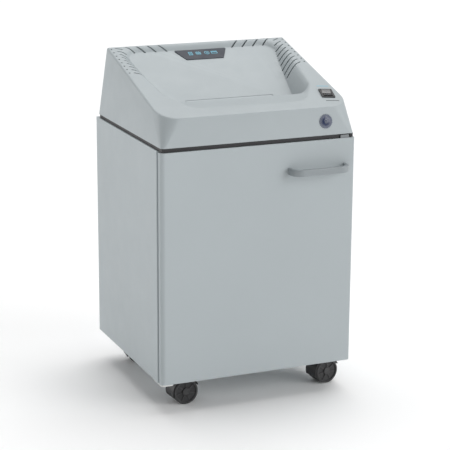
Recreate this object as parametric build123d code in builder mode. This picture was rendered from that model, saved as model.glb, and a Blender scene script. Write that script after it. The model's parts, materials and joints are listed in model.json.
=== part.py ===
"""Office paper shredder: a wheeled cabinet with a hinged door, a cutting head on top and a waste bin inside.

The origin is on the floor under the middle of the machine, handle included.
X is to the right as the user faces the door, Y is to the back and Z is up.
"""
from build123d import *

import math
import os

# ---- driving dimensions ----
width = 380.0                 # cabinet, across
depth = 348.0                 # cabinet, from the door's face to the back
handle_reach = 28.0           # how far the handle stands out from the door
caster_height = 58.0          # floor to the underside of the cabinet
cabinet_height = 432.0
board = 16.0                  # side, back and bottom boards
door_thickness = 19.0
door_gap = 1.0                # between the door and the carcass
throat_width = 230.0
cutting_width = 240.0
cover_wall = 3.0
running_gap = 0.05            # radial clearance of a shaft in its hole

# ---- positions that follow from them ----
door_face = handle_reach - (depth + handle_reach) / 2
back_face = door_face + depth
carcass_front = door_face + door_thickness + door_gap
cabinet_top = caster_height + cabinet_height
half_width = width / 2
inner_half = half_width - board
inner_back = back_face - board

# ---- head cover ----
frame_thickness = 7.0         # black frame between the cabinet and the head
head_base = cabinet_top + frame_thickness
head_crown = cabinet_top + 140.0
head_half = 188.5             # half width at the foot
side_lean = 6.0               # how much narrower each side is at the crown
front_lean = 20.5
head_foot_back = door_face + 335.0
back_lean = 35.0
foot_corner = 8.0
crown_front_corner = 90.0
crown_back_corner = 7.0
rim_slope = 0.2824            # rise of the sloping top per millimetre of depth
rim_at_face = cabinet_top + 55.3
rim_round = 4.0
rim_edge_half = 170.0
rim_edge_depth = 10.0

# ---- feed recess in the sloping top ----
floor_slope = 0.46
floor_at_face = cabinet_top - 3.8
recess_front = door_face + 78.0
recess_back = door_face + 297.0
floor_front = door_face + 82.0
floor_back = door_face + 288.0
crest_front_half = 146.0
crest_back_half = 173.0
floor_front_half = 117.0
floor_back_half = 152.0
crest_corner = 40.0
floor_corner = 26.0
recess_storeys = 6            # steps of the walls, steep at the floor and rounding over at the rim
wall_bow = 1.6
recess_overshoot = 1.0
lip_front = door_face + 37.0
lip_slope = 0.115
lip_half = 122.0
lip_corner = 30.0
lip_narrowing = 12.0
lip_length = 48.0
lip_wall_taper = 64.0
lip_wall_height = 12.0
throat_front = door_face + 80.0
throat_back = door_face + 133.0
throat_corner = 12.0
throat_step = 10.0            # the deeper part starts this far behind the throat's front
throat_cut_height = 62.0      # stays under the lip in front and over the floor behind
flap_width = 174.0
flap_gap = 0.8
flap_rear = door_face + 140.5

# ---- rocker switch, in line with the recess's side ----
rocker_x = 159.5
rocker_y = door_face + 57.5
rocker_turn = -11.0
rocker_window_wide = 22.2
rocker_window_long = 30.2

# ---- air slots ----
side_vents = 9
side_vent_x = 161.5           # middle of the rearmost one
side_vent_step = -2.2
side_vent_depth = 292.0       # behind the door's face
side_vent_length = 14.0
side_vent_growth = 1.8        # each one is longer than the one behind it
side_vent_turn = 30.0
vent_pitch = 14.3
vent_width = 2.8
vent_cut = 24.0
vent_holes = 8
vent_hole_x = 177.0
vent_hole_depth = 291.5
vent_hole_radius = 1.9
back_vents = 4
back_vent_x = 74.0
back_vent_pitch = 22.0
back_vent_depth = 291.0
back_vent_length = 21.0
back_vent_turn = 40.0

# ---- cutting block ----
cutter_z = cabinet_top + 6.0
front_cutter_y = door_face + 83.5
cutter_spacing = 33.0
rear_cutter_y = front_cutter_y + cutter_spacing
disc_radius = 18.0
groove_radius = 14.0
disc_pitch = 8.0              # one disc and one groove
disc_width = 3.8
shaft_radius = 8.0
cutter_plate_x = 124.0
plate_thickness = 5.0

# ---- gear train on the left ----
gear_module = 1.5
pressure_angle = math.radians(25)
backlash = 0.16
gear_dedendum = 1.25          # root depth, in modules
sync_teeth = 22
main_teeth = 60
pinion_teeth = 12
cluster_teeth = 50
cluster_y = door_face + 162.5
motor_z = cabinet_top + 46.0
motor_radius = 36.0

os.makedirs("parts", exist_ok=True)


def finish(piece, name):
    """Label a finished piece and write its STEP file."""
    piece.part.label = name
    export_step(piece.part, f"parts/{name}.step")


def rim_z(y):
    """Height of the sloping top over a point at depth y."""
    return rim_at_face + rim_slope * (y - door_face)


def floor_z(y):
    """Height of the feed recess's floor at depth y."""
    return floor_at_face + floor_slope * (y - door_face)


def sloping_plane(x, y, z, slope, turn=0.0):
    """A plane through a point, rising to the back by slope, with its own X turned in the plane."""
    tilted = Plane(origin=(x, y, z), x_dir=(1, 0, 0), z_dir=(0, -slope, 1))
    turned = tilted.x_dir.rotate(Axis((0, 0, 0), tilted.z_dir), turn)
    return Plane(origin=tilted.origin, x_dir=turned, z_dir=tilted.z_dir)


def cross_plane(x):
    """The YZ plane at a place across the machine, with Y to the right and Z up."""
    return Plane.YZ.offset(x)


rim_plane = sloping_plane(0, door_face, rim_at_face, rim_slope)
rocker_plane = sloping_plane(rocker_x, rocker_y, rim_z(rocker_y), rim_slope, rocker_turn)


def box_between(low, high):
    """A plain block from its lowest corner to its highest."""
    size = [b - a for a, b in zip(low, high)]
    middle = [(a + b) / 2 for a, b in zip(low, high)]
    with Locations(tuple(middle)):
        Box(*size)


# ---- cabinet ----
with BuildPart() as left_side_panel:
    box_between((-half_width, carcass_front, caster_height), (-inner_half, back_face, cabinet_top))
    chamfer(left_side_panel.edges().filter_by(Axis.Z).group_by(Axis.X)[0], 1.0)
finish(left_side_panel, "left_side_panel")

with BuildPart() as right_side_panel:
    box_between((inner_half, carcass_front, caster_height), (half_width, back_face, cabinet_top))
    chamfer(right_side_panel.edges().filter_by(Axis.Z).group_by(Axis.X)[-1], 1.0)
finish(right_side_panel, "right_side_panel")

inlet_z = cabinet_top - 45.0
inlet_x = 120.0
inlet_width = 28.0
inlet_height = 20.0
screw_head_radius = 4.0
screw_head_depth = 2.2
screw_floor = 0.8
screw_slot_length = 4.4
screw_slot_width = 1.0
screw_from_edge = board / 2
screw_from_end = 26.0
screw_heights = (caster_height + screw_from_end, caster_height + cabinet_height / 2, cabinet_top - screw_from_end)
back_screw_places = [(side * (inner_half - screw_from_edge), z) for side in (-1, 1) for z in screw_heights]
with BuildPart() as back_panel:
    box_between((-inner_half, inner_back, caster_height), (inner_half, back_face, cabinet_top))
    with BuildSketch(Plane.XZ.offset(-back_face)):
        with Locations((inlet_x, inlet_z)):
            Rectangle(inlet_width, inlet_height)
    extrude(amount=board, mode=Mode.SUBTRACT)
    with BuildSketch(Plane.XZ.offset(-back_face)):
        with Locations(*back_screw_places):
            Circle(screw_head_radius)
    extrude(amount=screw_head_depth, mode=Mode.SUBTRACT)
finish(back_panel, "back_panel")

with BuildPart() as back_screws:
    with BuildSketch(Plane.XZ.offset(-back_face)):
        with Locations(*back_screw_places):
            Circle(screw_head_radius)
            Rectangle(screw_slot_length, screw_slot_width, mode=Mode.SUBTRACT)
            Rectangle(screw_slot_width, screw_slot_length, mode=Mode.SUBTRACT)
    extrude(amount=screw_head_depth)
    with BuildSketch(Plane.XZ.offset(-(back_face - screw_head_depth))):
        with Locations(*back_screw_places):
            Circle(screw_head_radius)
    extrude(amount=-screw_floor)
finish(back_screws, "back_screws")

caster_x = 145.0
caster_front_y = door_face + 55.0
caster_back_y = door_face + 300.0
socket_hole = 7.2
stem_places = [(x, y) for x in (-caster_x, caster_x) for y in (caster_front_y, caster_back_y)]
with BuildPart() as bottom_panel:
    box_between((-inner_half, carcass_front, caster_height), (inner_half, inner_back, caster_height + board))
    with BuildSketch(Plane.XY.offset(caster_height)):
        with Locations(*stem_places):
            Circle(socket_hole)
    extrude(amount=board, mode=Mode.SUBTRACT)
finish(bottom_panel, "bottom_panel")

# ---- door, on a pivot pin at each end of its rounded left edge ----
pivot_x = -half_width + door_thickness / 2
pivot_y = door_face + door_thickness / 2
door_low = caster_height + 0.5
door_high = cabinet_top - 1.0
pivot_bush_radius = 4.0
pivot_pin_radius = 2.5
pivot_depth = 14.0
door_edge_round = 3.0
door_hinge_round = door_thickness / 2 - 0.01
with BuildPart() as door_panel:
    box_between((-half_width, door_face, door_low), (half_width, door_face + door_thickness, door_high))
    upright = door_panel.edges().filter_by(Axis.Z)
    fillet(upright.group_by(Axis.X)[0], door_hinge_round)
    fillet(door_panel.edges().filter_by(Axis.Z).group_by(Axis.X)[-1], door_edge_round)
    for end, inward in ((door_low, 1), (door_high, -1)):
        with BuildSketch(Plane.XY.offset(end)):
            with Locations((pivot_x, pivot_y)):
                Circle(pivot_bush_radius)
        extrude(amount=inward * pivot_depth, mode=Mode.SUBTRACT)
finish(door_panel, "door_panel")

with BuildPart() as pivot_bushes:
    for end, inward in ((door_low, 1), (door_high, -1)):
        with BuildSketch(Plane.XY.offset(end)):
            with Locations((pivot_x, pivot_y)):
                Circle(pivot_bush_radius)
                Circle(pivot_pin_radius + running_gap, mode=Mode.SUBTRACT)
        extrude(amount=inward * pivot_depth)
finish(pivot_bushes, "pivot_bushes")

pin_length = 15.0
pin_foot = 3.5                # through the bracket under the door
pin_sunk = 1.0                # under the top of the frame
with BuildPart() as pivot_pins:
    for start, direction in ((door_low - pin_foot, 1), (head_base - pin_sunk, -1)):
        with BuildSketch(Plane.XY.offset(start)):
            with Locations((pivot_x, pivot_y)):
                Circle(pivot_pin_radius)
        extrude(amount=direction * pin_length)
finish(pivot_pins, "pivot_pins")

bracket_thickness = 3.0
bracket_low = caster_height - bracket_thickness
bracket_wide = 24.0
bracket_deep = 44.0
bracket_corner = 5.0
bracket_aside = 4.0           # its middle, from the pin
bracket_behind = 15.0
with BuildPart() as pivot_bracket:
    with BuildSketch(Plane.XY.offset(bracket_low)) as bracket_plan:
        with Locations((pivot_x + bracket_aside, pivot_y + bracket_behind)):
            Rectangle(bracket_wide, bracket_deep)
        fillet(bracket_plan.vertices(), bracket_corner)
        with Locations((pivot_x, pivot_y)):
            Circle(pivot_pin_radius, mode=Mode.SUBTRACT)
    extrude(amount=bracket_thickness)
finish(pivot_bracket, "pivot_bracket")

handle_left = 56.0
handle_right = 174.0
handle_low = cabinet_top - 60.0
handle_tall = 12.5
handle_bar = 7.5
handle_corner = 22.0
handle_inner_corner = 16.0
handle_edge_round = 2.0
with BuildPart() as door_handle:
    with BuildSketch(Plane.XY.offset(handle_low)):
        for inset, mode in ((0.0, Mode.ADD), (handle_bar, Mode.SUBTRACT)):
            with BuildLine():
                left, right = handle_left + inset, handle_right - inset
                reach = door_face - handle_reach + inset
                corner = handle_corner if inset == 0 else handle_inner_corner
                FilletPolyline(
                    (left, door_face), (left, reach), (right, reach), (right, door_face), radius=corner
                )
                Line((right, door_face), (left, door_face))
            make_face(mode=mode)
    extrude(amount=handle_tall)
    level_edges = door_handle.edges().group_by(Axis.Z)
    front_edges = ShapeList(level_edges[0] + level_edges[-1]).filter_by(
        lambda edge: edge.center().Y < door_face - 0.5
    )
    fillet(front_edges, handle_edge_round)
finish(door_handle, "door_handle")

handle_screw_places = [
    (x, handle_low + handle_tall / 2)
    for x in (handle_left + handle_bar / 2, handle_right - handle_bar / 2)
]
handle_screw_radius = 3.6
handle_screw_depth = 2.0
with BuildPart() as handle_screws:
    with BuildSketch(Plane.XZ.offset(-(door_face + door_thickness + handle_screw_depth))):
        with Locations(*handle_screw_places):
            Circle(handle_screw_radius)
    extrude(amount=handle_screw_depth)
finish(handle_screws, "handle_screws")

strike_left = 132.0
strike_right = 164.0
strike_low = cabinet_top - 40.0
strike_high = cabinet_top - 26.0
strike_thickness = 0.8
with BuildPart() as strike_plate:
    box_between(
        (strike_left, door_face + door_thickness, strike_low),
        (strike_right, door_face + door_thickness + strike_thickness, strike_high),
    )
finish(strike_plate, "strike_plate")

catch_margin = 1.0            # the strike plate's border round the catch
catch_air = 0.4
catch_depth = 16.0
catch_corner = 2.0
with BuildPart() as magnet_catch:
    box_between(
        (strike_left + 2 * catch_margin, carcass_front + catch_air, strike_low + catch_margin),
        (inner_half, carcass_front + catch_depth, strike_high - catch_margin),
    )
    fillet(magnet_catch.edges().filter_by(Axis.Z).group_by(Axis.X)[0], catch_corner)
finish(magnet_catch, "magnet_catch")

# A tongue on the door's top edge reaches the safety switch through a notch in the frame.
tongue_left = 161.5
tongue_right = 178.5
notch_margin = 2.5
tongue_high = cabinet_top + 5.0
tongue_front = door_face + 1.0
tongue_back = door_face + 18.0
tongue_round = 1.2
with BuildPart() as interlock_tongue:
    box_between((tongue_left, tongue_front, door_high), (tongue_right, tongue_back, tongue_high))
    fillet(interlock_tongue.edges().filter_by(Axis.Y).group_by(Axis.Z)[-1], tongue_round)
finish(interlock_tongue, "interlock_tongue")

switch_front = tongue_back + 3.5
plunger_radius = 2.0
plunger_x = (tongue_left + tongue_right) / 2
plunger_z = cabinet_top + 2.8
plunger_length = 8.0
plunger_rest = 0.4            # gap from the tongue to the plunger
safety_depth = 16.0
safety_margin = 1.0
safety_low = cabinet_top + 0.2
safety_high = cabinet_top + 18.0
with BuildPart() as interlock_switch:
    box_between(
        (tongue_left - safety_margin, switch_front, safety_low),
        (tongue_right + safety_margin, switch_front + safety_depth, safety_high),
    )
    with BuildSketch(Plane.XZ.offset(-switch_front)):
        with Locations((plunger_x, plunger_z)):
            Circle(plunger_radius + running_gap)
    extrude(amount=-plunger_length, mode=Mode.SUBTRACT)
finish(interlock_switch, "interlock_switch")

with BuildPart() as interlock_plunger:
    with BuildSketch(Plane.XZ.offset(-(tongue_back + plunger_rest))):
        with Locations((plunger_x, plunger_z)):
            Circle(plunger_radius)
    extrude(amount=-plunger_length)
finish(interlock_plunger, "interlock_plunger")

# ---- black frame that carries the head and the mechanism ----
frame_half = 187.0
frame_front = door_face + 2.5
frame_skirt = 12.0
frame_back = head_foot_back - 1.0
window_left = -178.0
window_right = 134.0
window_front = door_face + 58.0
window_back = door_face + 166.0
gear_notch_right = -150.0
gear_notch_back = door_face + 205.0
skirt_low = cabinet_top - frame_skirt
skirt_wall = 4.0
skirt_air = 1.0               # between the skirt and the boards round it
skirt_half = inner_half - skirt_air
skirt_front = carcass_front + 4.0
skirt_back = inner_back - skirt_air
notch_back = switch_front + safety_depth + skirt_air
through_cut = frame_skirt + frame_thickness + 2.0
with BuildPart() as base_frame:
    box_between((-frame_half, frame_front, cabinet_top), (frame_half, frame_back, head_base))
    box_between((-skirt_half, skirt_front, skirt_low), (skirt_half, skirt_back, cabinet_top))
    with BuildSketch(Plane.XY.offset(skirt_low)):
        with Locations((0, (skirt_front + skirt_back) / 2)):
            Rectangle(2 * (skirt_half - skirt_wall), skirt_back - skirt_front - 2 * skirt_wall)
    extrude(amount=frame_skirt, mode=Mode.SUBTRACT)
    with BuildSketch(Plane.XY.offset(skirt_low - 1.0)):
        with Locations(((window_left + window_right) / 2, (window_front + window_back) / 2)):
            Rectangle(window_right - window_left, window_back - window_front)
        with Locations(((window_left + gear_notch_right) / 2, (window_front + gear_notch_back) / 2)):
            Rectangle(gear_notch_right - window_left, gear_notch_back - window_front)
    extrude(amount=through_cut, mode=Mode.SUBTRACT)
    with BuildSketch(Plane.XY.offset(cabinet_top - 1.0)):
        with Locations((plunger_x, (frame_front + notch_back) / 2)):
            Rectangle(tongue_right - tongue_left + 2 * notch_margin, notch_back - frame_front)
        with Locations((pivot_x, pivot_y)):
            Circle(pivot_pin_radius)
    extrude(amount=frame_thickness + 2.0, mode=Mode.SUBTRACT)
finish(base_frame, "base_frame")


# ---- head cover ----
def head_outline(z, inset=0.0):
    """Sketch the head's plan at a height: its front corners open out as it rises."""
    rise = (z - head_base) / (head_crown - head_base)
    half = head_half - side_lean * rise - inset
    front = door_face + front_lean * rise + inset
    back = head_foot_back - back_lean * rise - inset
    front_corner = foot_corner + (crown_front_corner - foot_corner) * rise
    back_corner = foot_corner + (crown_back_corner - foot_corner) * rise
    with BuildSketch(Plane.XY.offset(z)) as outline:
        with Locations((0, (front + back) / 2)):
            Rectangle(2 * half, back - front)
        corners = outline.vertices().group_by(Axis.Y)
        fillet(corners[0], max(front_corner - inset, 1.0))
        fillet(corners[-1], max(back_corner - inset, 1.0))
    return outline.sketch


def recess_outline(across, grow, lift=0.0):
    """The feed recess's outline partway out from its floor (0) to its crest (1) in the rim."""
    rise = 1 - (1 - across) ** wall_bow
    front = floor_front + (recess_front - floor_front) * across
    back = floor_back + (recess_back - floor_back) * across
    front_half = floor_front_half + (crest_front_half - floor_front_half) * across
    back_half = floor_back_half + (crest_back_half - floor_back_half) * across
    corner = floor_corner + (crest_corner - floor_corner) * across
    slope = floor_slope + (rim_slope - floor_slope) * rise
    height = floor_z(front) + (rim_z(front) - floor_z(front)) * rise
    length = (back - front) * math.hypot(1, slope)
    with BuildSketch(sloping_plane(0, front, height, slope).offset(lift - grow)) as storey:
        with BuildLine():
            Polyline(
                (-front_half - grow, -grow), (front_half + grow, -grow),
                (back_half + grow, length + grow), (-back_half - grow, length + grow), close=True,
            )
        make_face()
        fillet(storey.vertices(), corner + grow)
    return storey.sketch.face()


def recess_air(grow):
    """The open space of the feed recess, or with grow the same space and its wall."""
    outlines = [recess_outline(step / recess_storeys, grow) for step in range(recess_storeys + 1)]
    with BuildPart() as air:
        loft([*outlines, recess_outline(1.0, grow, recess_overshoot + grow)], ruled=True)
    return air


def dish_air(grow):
    """The shallow dish from the front of the rim down to the throat, or the same with its wall."""
    plane = sloping_plane(0, lip_front, rim_z(lip_front), lip_slope).offset(-grow)
    narrow = lip_half - lip_narrowing + grow
    wide = lip_half + grow
    with BuildPart() as dish:
        with BuildSketch(plane) as outline:
            with BuildLine():
                Polyline(
                    (-narrow, -grow), (narrow, -grow), (wide, lip_length), (-wide, lip_length), close=True
                )
            make_face()
            fillet(outline.vertices().group_by(Axis.Y)[0], lip_corner)
        extrude(amount=lip_wall_height, taper=-lip_wall_taper)
    return dish


def vent_places():
    """Where the air slots lie on the rim, as (x, depth, turn, length): down each side and across the back."""
    for side in (-1, 1):
        for place in range(side_vents):
            x = side * (side_vent_x + side_vent_step * place)
            length = side_vent_length + side_vent_growth * place
            yield x, side_vent_depth - vent_pitch * place, side * side_vent_turn, length
        for place in range(back_vents):
            x = side * (back_vent_x + back_vent_pitch * place)
            yield x, back_vent_depth, side * back_vent_turn, back_vent_length


def on_outer_rim(edge):
    """Whether an edge runs along the front or a side of the rim's outline."""
    middle = edge.center()
    outside = abs(middle.X) > rim_edge_half or middle.Y < door_face + rim_edge_depth
    return outside and edge.length > rim_round and abs(rim_plane.to_local_coords(middle).Z) < 1e-3


recess = recess_air(0.0)
recess_shell = recess_air(cover_wall)
dish = dish_air(0.0)
dish_shell = dish_air(cover_wall)

with BuildPart() as head_hollow:
    loft([head_outline(head_base, cover_wall).face(), head_outline(head_crown, cover_wall).face()])
    split(bisect_by=rim_plane.offset(-cover_wall), keep=Keep.BOTTOM)
    add(recess_shell.part, mode=Mode.SUBTRACT)
    add(dish_shell.part, mode=Mode.SUBTRACT)

with BuildPart() as head_cover:
    loft([head_outline(head_base).face(), head_outline(head_crown).face()])
    split(bisect_by=rim_plane, keep=Keep.BOTTOM)
    add(recess.part, mode=Mode.SUBTRACT)
    add(dish.part, mode=Mode.SUBTRACT)
    add(head_hollow.part, mode=Mode.SUBTRACT)
    fillet(head_cover.edges().filter_by(on_outer_rim), rim_round)
    # the throat, deeper behind the flap than at its ends
    with BuildSketch(Plane.XY.offset(cabinet_top)):
        with Locations((0, (throat_front + throat_back) / 2)):
            RectangleRounded(throat_width, throat_back - throat_front, throat_corner)
        with Locations((0, (throat_front + throat_step + flap_rear) / 2)):
            Rectangle(flap_width + 2 * flap_gap, flap_rear - throat_front - throat_step)
    extrude(amount=throat_cut_height, mode=Mode.SUBTRACT)
    # rocker switch window
    with BuildSketch(rocker_plane):
        Rectangle(rocker_window_wide, rocker_window_long)
    extrude(amount=2 * cover_wall, both=True, mode=Mode.SUBTRACT)
    # air slots
    with BuildSketch(rim_plane):
        for x, depth_here, turn, length in vent_places():
            with Locations(Location((x, depth_here * math.hypot(1, rim_slope), 0), (0, 0, turn))):
                SlotOverall(length, vent_width)
        for place in range(vent_holes):
            hole_depth = vent_hole_depth - vent_pitch * place
            with Locations(*[(x, hole_depth * math.hypot(1, rim_slope)) for x in (-vent_hole_x, vent_hole_x)]):
                Circle(vent_hole_radius)
    extrude(amount=-vent_cut, mode=Mode.SUBTRACT)
finish(head_cover, "head_cover")

# ---- pieces set into the head ----
badge_depth = 271.5           # behind the door's face, at the badge's middle
badge_top_wide = 108.0
badge_low_wide = 76.0
badge_tall = 32.0
badge_thickness = 1.2
badge_corner = 2.5
badge_y = door_face + badge_depth
with BuildPart() as badge_plate:
    with BuildSketch(sloping_plane(0, badge_y, floor_z(badge_y), floor_slope)) as badge_plan:
        with BuildLine():
            Polyline(
                (-badge_low_wide / 2, -badge_tall / 2), (badge_low_wide / 2, -badge_tall / 2),
                (badge_top_wide / 2, badge_tall / 2), (-badge_top_wide / 2, badge_tall / 2), close=True,
            )
        make_face()
        fillet(badge_plan.vertices(), badge_corner)
    extrude(amount=badge_thickness)
finish(badge_plate, "badge_plate")

seal_x = 132.0
seal_z = cabinet_top + 32.0
seal_radius = 13.5
seal_teeth = 24
seal_tooth = 1.2
seal_rim_thickness = 0.8
seal_disc_radius = 9.5
seal_disc_thickness = 0.5
front_rake = front_lean / (head_crown - head_base)
seal_y = door_face + front_rake * (seal_z - head_base)
seal_plane = Plane(origin=(seal_x, seal_y, seal_z), x_dir=(1, 0, 0), z_dir=(0, -1, front_rake))
with BuildPart() as round_badge:
    with BuildSketch(seal_plane):
        Circle(seal_radius - seal_tooth)
        with PolarLocations(seal_radius - seal_tooth, seal_teeth):
            RegularPolygon(seal_tooth, 3)
    extrude(amount=seal_rim_thickness)
    with BuildSketch(seal_plane.offset(seal_rim_thickness)):
        Circle(seal_disc_radius)
    extrude(amount=seal_disc_thickness)
finish(round_badge, "round_badge")

frame_seat = 0.05             # the switch's frame just clears the cover it clips into
rocker_frame_wide = 25.0
rocker_frame_long = 33.0
rocker_cap_wide = 17.0
rocker_cap_long = 25.0
rocker_pin_drop = 3.0
rocker_frame_corner = 1.5
rocker_frame_thickness = 2.0
rocker_slip = 0.2             # the body's clearance in the cover's window
rocker_body_depth = 15.0
rocker_well_depth = 12.0
rocker_side_air = 1.0
rocker_end_air = 1.6
rocker_top = 6.2              # heights over the pin: cap's ends, its dip, its lower corners, its belly
rocker_dip = 4.4
rocker_foot = -2.0
rocker_belly = -5.0
rocker_half = rocker_cap_long / 2 - 0.6
with BuildPart() as switch_body:
    with BuildSketch(rocker_plane.offset(frame_seat)):
        RectangleRounded(rocker_frame_wide, rocker_frame_long, rocker_frame_corner)
    extrude(amount=rocker_frame_thickness)
    with BuildSketch(rocker_plane.offset(frame_seat)):
        Rectangle(rocker_window_wide - rocker_slip, rocker_window_long - rocker_slip)
    extrude(amount=-rocker_body_depth)
    with BuildSketch(rocker_plane.offset(rocker_frame_thickness + frame_seat)):
        Rectangle(rocker_cap_wide + rocker_side_air, rocker_cap_long + rocker_end_air)
    extrude(amount=-rocker_well_depth, mode=Mode.SUBTRACT)
finish(switch_body, "switch_body")

rocker_axis = rocker_plane.offset(-rocker_pin_drop)
rocker_side = Plane(origin=rocker_axis.origin, x_dir=rocker_plane.y_dir, z_dir=rocker_plane.x_dir)
with BuildPart() as switch_rocker:
    with BuildSketch(rocker_side):
        with BuildLine():
            Line((-rocker_half, rocker_foot), (-rocker_half, rocker_top))
            ThreePointArc((-rocker_half, rocker_top), (0, rocker_dip), (rocker_half, rocker_top))
            Line((rocker_half, rocker_top), (rocker_half, rocker_foot))
            ThreePointArc((rocker_half, rocker_foot), (0, rocker_belly), (-rocker_half, rocker_foot))
        make_face()
    extrude(amount=rocker_cap_wide / 2, both=True)
finish(switch_rocker, "switch_rocker")

# ---- throat flap: hangs on a pin under the recess floor and is pushed down by the paper ----
flap_pin_y = door_face + 136.5
flap_pin_z = floor_z(flap_pin_y) - 6.2
flap_pin_radius = 1.5
flap_barrel = 3.0
flap_tip = door_face + 93.0
flap_thickness = 2.4
flap_sunk = 0.3               # below the recess floor, so that paper never catches its edge
flap_web_rise = 2.4
flap_web_tall = 3.4
with BuildPart() as throat_flap:
    with BuildSketch(Plane.YZ.offset(-flap_width / 2)):
        with BuildLine():
            rear = flap_rear - flap_gap
            tip_top = floor_z(flap_tip) - flap_sunk
            rear_top = floor_z(rear) - flap_sunk
            Polyline(
                (flap_tip, tip_top), (rear, rear_top),
                (rear, rear_top - flap_thickness), (flap_tip, tip_top - flap_thickness), close=True,
            )
        make_face()
        with Locations((flap_pin_y, flap_pin_z)):
            Circle(flap_barrel)
            with Locations((0, flap_web_rise)):
                Rectangle(2 * flap_barrel, flap_web_tall)
            Circle(flap_pin_radius + running_gap, mode=Mode.SUBTRACT)
    extrude(amount=flap_width)
finish(throat_flap, "throat_flap")

flap_pin_length = 190.0
with BuildPart() as flap_pin:
    with BuildSketch(cross_plane(-flap_pin_length / 2)):
        with Locations((flap_pin_y, flap_pin_z)):
            Circle(flap_pin_radius)
    extrude(amount=flap_pin_length)
finish(flap_pin, "flap_pin")


# ---- throat funnel: guides the sheet from the recess down to the cutters ----
def in_side_view(places):
    """Turn (depth behind the door's face, height over the cabinet) pairs into positions on a YZ plane."""
    return [(door_face + y, cabinet_top + z) for y, z in places]


def side_profile(points):
    """A face through (depth behind the door's face, height over the cabinet) pairs on the active plane."""
    Polygon(*in_side_view(points), align=None)


funnel_half = throat_width / 2
funnel_wall = 2.0
lug_x = flap_width / 2 + 1.0
lug_thickness = 3.0
front_guide = [(77, 27.2), (93.5, 22.2), (93.5, 24.4), (81, 29.2), (77, 29.2)]
rear_guide = [(106.5, 22.6), (131.5, 48.4), (131.5, 51.0), (105, 24.0)]
funnel_end = [(77, 27.2), (93.5, 22.2), (106.5, 22.6), (131.5, 48.4), (131.5, 52.6), (81, 29.4), (77, 29.2)]
lug = [(126, 43.2), (134, 46.5), (140.5, 49), (140.5, 56.8), (133, 53.4), (131.5, 50.9), (126, 45.4)]
funnel_ear = [(94, 22.4), (106, 22.8), (106, 26.5), (94, 26.5)]
with BuildPart() as throat_funnel:
    with BuildSketch(cross_plane(-funnel_half)):
        side_profile(front_guide)
        side_profile(rear_guide)
    extrude(amount=throat_width)
    for x in (-funnel_half - funnel_wall, funnel_half):
        with BuildSketch(cross_plane(x)):
            side_profile(funnel_end)
        extrude(amount=funnel_wall)
    for x in (-cutter_plate_x, funnel_half + funnel_wall):
        with BuildSketch(cross_plane(x)):
            side_profile(funnel_ear)
        extrude(amount=cutter_plate_x - funnel_half - funnel_wall)
    for x in (-lug_x - lug_thickness, lug_x):
        with BuildSketch(cross_plane(x)):
            side_profile(lug)
            with Locations((flap_pin_y, flap_pin_z)):
                Circle(flap_pin_radius, mode=Mode.SUBTRACT)
        extrude(amount=lug_thickness)
finish(throat_funnel, "throat_funnel")


# ---- cutting block ----
def roller(y, first_disc, left_end, right_end):
    """A shaft with a row of cutting discs, turned about X."""
    discs = int(cutting_width / disc_pitch)
    profile = [(left_end, 0), (left_end, shaft_radius), (-cutting_width / 2, shaft_radius)]
    profile.append((-cutting_width / 2, groove_radius))
    for disc in range(discs):
        middle = first_disc + disc * disc_pitch
        low, high = middle - disc_width / 2, middle + disc_width / 2
        profile += [(low, groove_radius), (low, disc_radius), (high, disc_radius), (high, groove_radius)]
    profile += [(cutting_width / 2, groove_radius), (cutting_width / 2, shaft_radius)]
    profile += [(right_end, shaft_radius), (right_end, 0)]
    lengthwise = Plane(origin=(0, y, cutter_z), x_dir=(1, 0, 0), z_dir=(0, -1, 0))
    with BuildPart() as body:
        with BuildSketch(lengthwise) as half:
            with BuildLine():
                Polyline(*profile, close=True)
            make_face()
        revolve(half.sketch, axis=Axis((0, y, cutter_z), (1, 0, 0)))
    return body


front_cutter_left = -144.0
rear_cutter_left = -170.0
cutter_right = 131.0
front_cutter = roller(front_cutter_y, -cutting_width / 2 + disc_pitch / 4, front_cutter_left, cutter_right)
finish(front_cutter, "front_cutter")
rear_cutter = roller(rear_cutter_y, -cutting_width / 2 + 3 * disc_pitch / 4, rear_cutter_left, cutter_right)
finish(rear_cutter, "rear_cutter")

bush_radius = 11.0
cluster_shaft_radius = 4.0
main_to_cluster = gear_module * (main_teeth + pinion_teeth) / 2
cluster_to_motor = gear_module * (cluster_teeth + pinion_teeth) / 2
front_place = (front_cutter_y, cutter_z)
rear_place = (rear_cutter_y, cutter_z)
cluster_angle = math.acos((cluster_y - rear_cutter_y) / main_to_cluster)
cluster_place = (cluster_y, cutter_z + main_to_cluster * math.sin(cluster_angle))
motor_angle = math.asin((motor_z - cluster_place[1]) / cluster_to_motor)
motor_place = (cluster_y + cluster_to_motor * math.cos(motor_angle), motor_z)

rod_radius = 4.0
rod_places = [(54, 18), (150, 22), (70, -17), (132, -17)]
plate_front = 48.0            # depths behind the door's face
plate_back = 184.0
belly_front = 64.0            # the part of the plate that hangs below the frame
belly_back = 160.0
ear_front = 128.0
ear_top_front = 146.0
belly_bevel = 8.0
plate_top = 27.0              # heights over the cabinet
belly_low = -23.0
belly_corner = -14.0
ear_top = 50.0
plate_outline = [
    (plate_front, frame_thickness), (plate_front, plate_top),
    (plate_back, plate_top), (plate_back, frame_thickness),
    (belly_back, frame_thickness), (belly_back, belly_corner),
    (belly_back - belly_bevel, belly_low), (belly_front + belly_bevel, belly_low),
    (belly_front, belly_corner), (belly_front, frame_thickness),
]
plate_ear = [(ear_front, plate_top), (plate_back, plate_top), (plate_back, ear_top), (ear_top_front, ear_top)]


shaft_places = [front_place, rear_place]


def cutter_plate(x):
    """One end plate of the cutting block, standing on the frame at both its ends."""
    with BuildPart() as plate:
        with BuildSketch(cross_plane(x)) as outline:
            side_profile(plate_outline)
            with Locations(*shaft_places):
                Circle(bush_radius, mode=Mode.SUBTRACT)
        extrude(outline.sketch, amount=plate_thickness)
    return plate


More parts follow.
